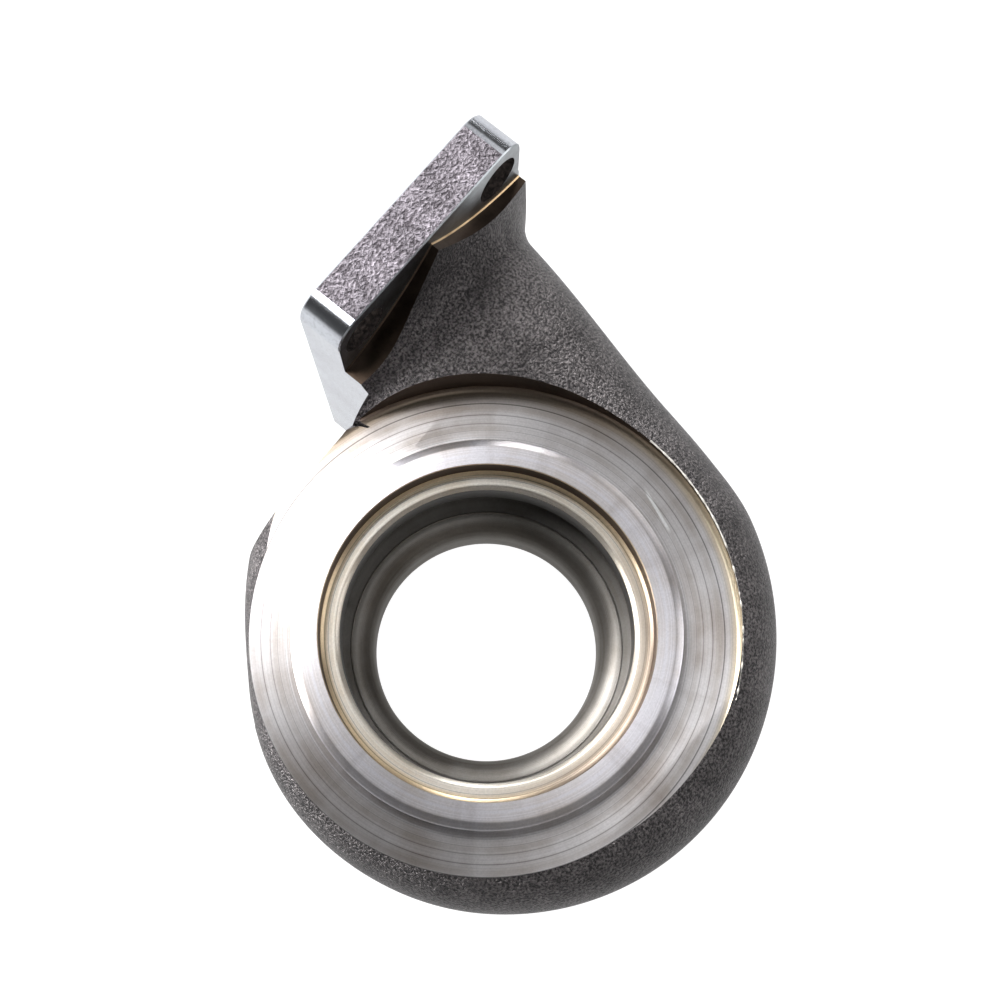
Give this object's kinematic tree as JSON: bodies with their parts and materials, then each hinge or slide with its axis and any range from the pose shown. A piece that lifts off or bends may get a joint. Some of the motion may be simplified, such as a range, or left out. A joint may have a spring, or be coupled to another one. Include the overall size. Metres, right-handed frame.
{
  "type": "turbine housing",
  "caption": "Cast iron scroll housing that leads exhaust gas from a rectangular bolted flange round to a central turbine bore, with a turned clamp ring on top and an outlet rim below.",
  "frame": {"origin": "centre of the outlet face, on the turbine axis", "axes": "+Z along the turbine axis towards the bearing side, +Y along the outward normal of the inlet flange"},
  "size_m": [0.145, 0.1388, 0.1053],
  "materials": {
    "housing_iron": "as cast, with turned and milled faces"
  },
  "bodies": {
    "root": {"turbine_housing": "housing_iron"}
  },
  "joints": []
}
